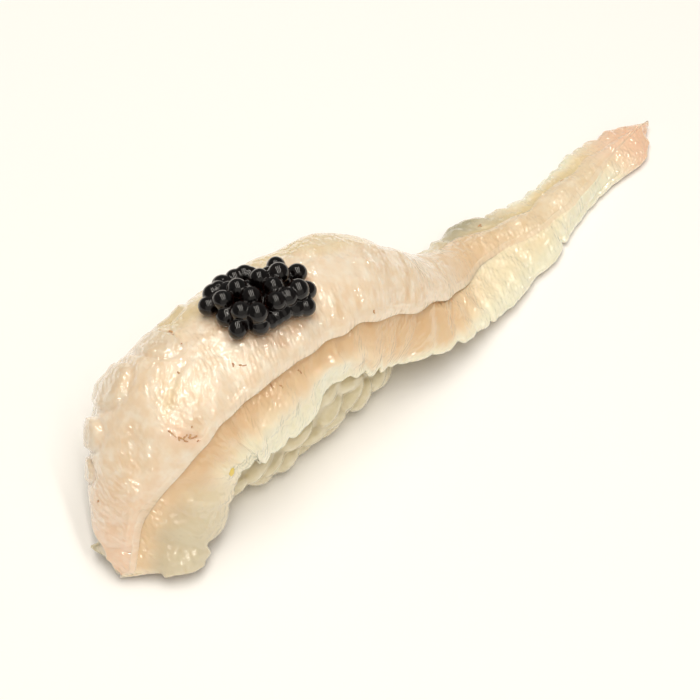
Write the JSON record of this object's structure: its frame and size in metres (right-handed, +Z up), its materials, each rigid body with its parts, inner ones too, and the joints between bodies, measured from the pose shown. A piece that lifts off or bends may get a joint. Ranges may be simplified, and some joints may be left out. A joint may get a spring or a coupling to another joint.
{
  "type": "nigiri sushi with raw white fish and black roe",
  "caption": "Nigiri sushi: a long strip of raw white flatfish fin draped over a pressed bed of rice, its tail lying flat beyond, topped with a small heap of black roe.",
  "frame": {"origin": "centre of the bounding box, at the height of the rice's flat underside", "axes": "+X along the strip towards its pointed tail, -Y the side where the fringe is lifted off the rice, +Z up"},
  "size_m": [0.1412, 0.034, 0.0325],
  "materials": {
    "raw_fish": "gloss",
    "cooked_rice": "satin",
    "black_roe": "gloss"
  },
  "bodies": {
    "root": {"fish_strip": "raw_fish", "rice_bed": "cooked_rice", "roe_heap": "black_roe"}
  },
  "joints": []
}
